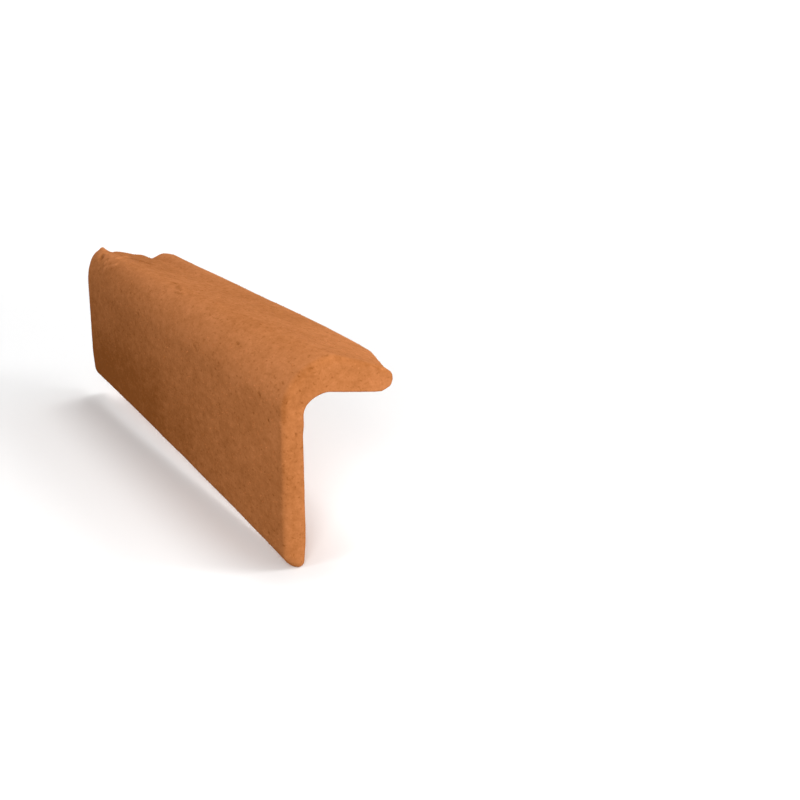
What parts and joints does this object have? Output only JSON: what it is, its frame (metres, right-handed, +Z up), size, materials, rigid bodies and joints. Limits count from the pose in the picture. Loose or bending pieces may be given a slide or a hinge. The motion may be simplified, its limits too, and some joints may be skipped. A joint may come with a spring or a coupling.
{
  "type": "verge tile",
  "caption": "Left-hand clay verge tile: a flange that beds on the edge of a pitched roof, and a deep apron that hangs outside it.",
  "frame": {"origin": "middle of the flat underside of the flange, at mid length: the face that beds on the roof's edge", "axes": "+Y along the tile from the eave end to the head, +X from the apron's outer face towards the roof, +Z up, with the apron hanging plumb"},
  "size_m": [0.0789, 0.43, 0.1232],
  "materials": {
    "fired_clay": "matte"
  },
  "bodies": {
    "root": {"verge_tile": "fired_clay"}
  },
  "joints": []
}
